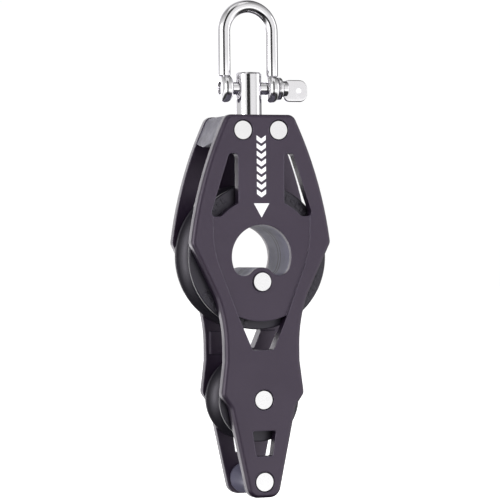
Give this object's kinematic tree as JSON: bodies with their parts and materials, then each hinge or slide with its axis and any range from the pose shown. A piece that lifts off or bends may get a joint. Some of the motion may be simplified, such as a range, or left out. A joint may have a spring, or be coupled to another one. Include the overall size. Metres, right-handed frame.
{
  "type": "fiddle block",
  "caption": "Ball-bearing fiddle block: a large and a small sheave in line between moulded cheeks, with a lashing eye, a becket and a swivelling D-shackle.",
  "frame": {"origin": "centre of the large sheave, at the block's mid-plane, in the middle of the lashing eye", "axes": "+Z towards the shackle, +X towards the tab of the shackle pin, the front cheek faces -Y"},
  "size_m": [0.0578, 0.0274, 0.1949],
  "materials": {
    "cheek": "moulded glass-filled nylon, satin",
    "spacer": "moulded glass-filled nylon, grainy",
    "stainless": "polished stainless steel",
    "rivet": "fine brushed stainless steel",
    "acetal": "acetal",
    "ball": "acetal balls",
    "sheave": "moulded acetal, satin",
    "hub": "moulded acetal, smooth",
    "cover": "moulded acetal",
    "spool": "moulded nylon, smooth"
  },
  "bodies": {
    "shackle": {"shackle_bow": "stainless"},
    "shackle_pin": {"shackle_pin": "stainless"},
    "swivel": {"swivel_post": "stainless"},
    "block": {"front_cheek": "cheek", "rear_cheek": "cheek", "front_head_spacer": "spacer", "rear_head_spacer": "spacer", "swivel_washer": "acetal", "main_hub_front": "hub", "main_hub_rear": "hub", "small_hub_front": "hub", "small_hub_rear": "hub", "head_rivets": "rivet", "main_rivet": "rivet", "small_sheave_rivet": "rivet", "becket_rivet": "rivet", "becket_spool": "spool"},
    "main_sheave": {"main_sheave": "sheave", "main_ball_cover_front": "cover", "main_ball_cover_rear": "cover"},
    "main_ball_rows": {"main_balls_front": "ball", "main_balls_rear": "ball"},
    "small_sheave": {"small_sheave": "sheave", "small_ball_cover_front": "cover", "small_ball_cover_rear": "cover"},
    "small_ball_rows": {"small_balls_front": "ball", "small_balls_rear": "ball"}
  },
  "joints": [
    {"name": "pin_draw", "type": "slide", "parent": "shackle", "child": "shackle_pin", "axis": [1, 0, 0], "range_m": [0, 0.026]},
    {"name": "shackle_tilt", "type": "hinge", "parent": "shackle", "child": "swivel", "pos_m": [0, 0, 0.0662], "axis": [1, 0, 0], "range_deg": [-110, 110]},
    {"name": "swivel_turn", "type": "hinge", "parent": "swivel", "child": "block", "pos_m": [0, 0, 0.05], "axis": [0, 0, 1], "continuous": true},
    {"name": "main_sheave_spin", "type": "hinge", "parent": "block", "child": "main_sheave", "pos_m": [0, 0, 0], "axis": [0, 1, 0], "continuous": true},
    {"name": "main_ball_orbit", "type": "hinge", "parent": "block", "child": "main_ball_rows", "pos_m": [0, 0, 0], "axis": [0, 1, 0], "continuous": true},
    {"name": "small_sheave_spin", "type": "hinge", "parent": "block", "child": "small_sheave", "pos_m": [0, 0, -0.0558], "axis": [0, 1, 0], "continuous": true},
    {"name": "small_ball_orbit", "type": "hinge", "parent": "block", "child": "small_ball_rows", "pos_m": [0, 0, -0.0558], "axis": [0, 1, 0], "continuous": true}
  ],
  "couplings": [
    {"joint": "main_ball_orbit", "follows": "main_sheave_spin", "ratio": 0.5567},
    {"joint": "small_ball_orbit", "follows": "small_sheave_spin", "ratio": 0.6081}
  ]
}
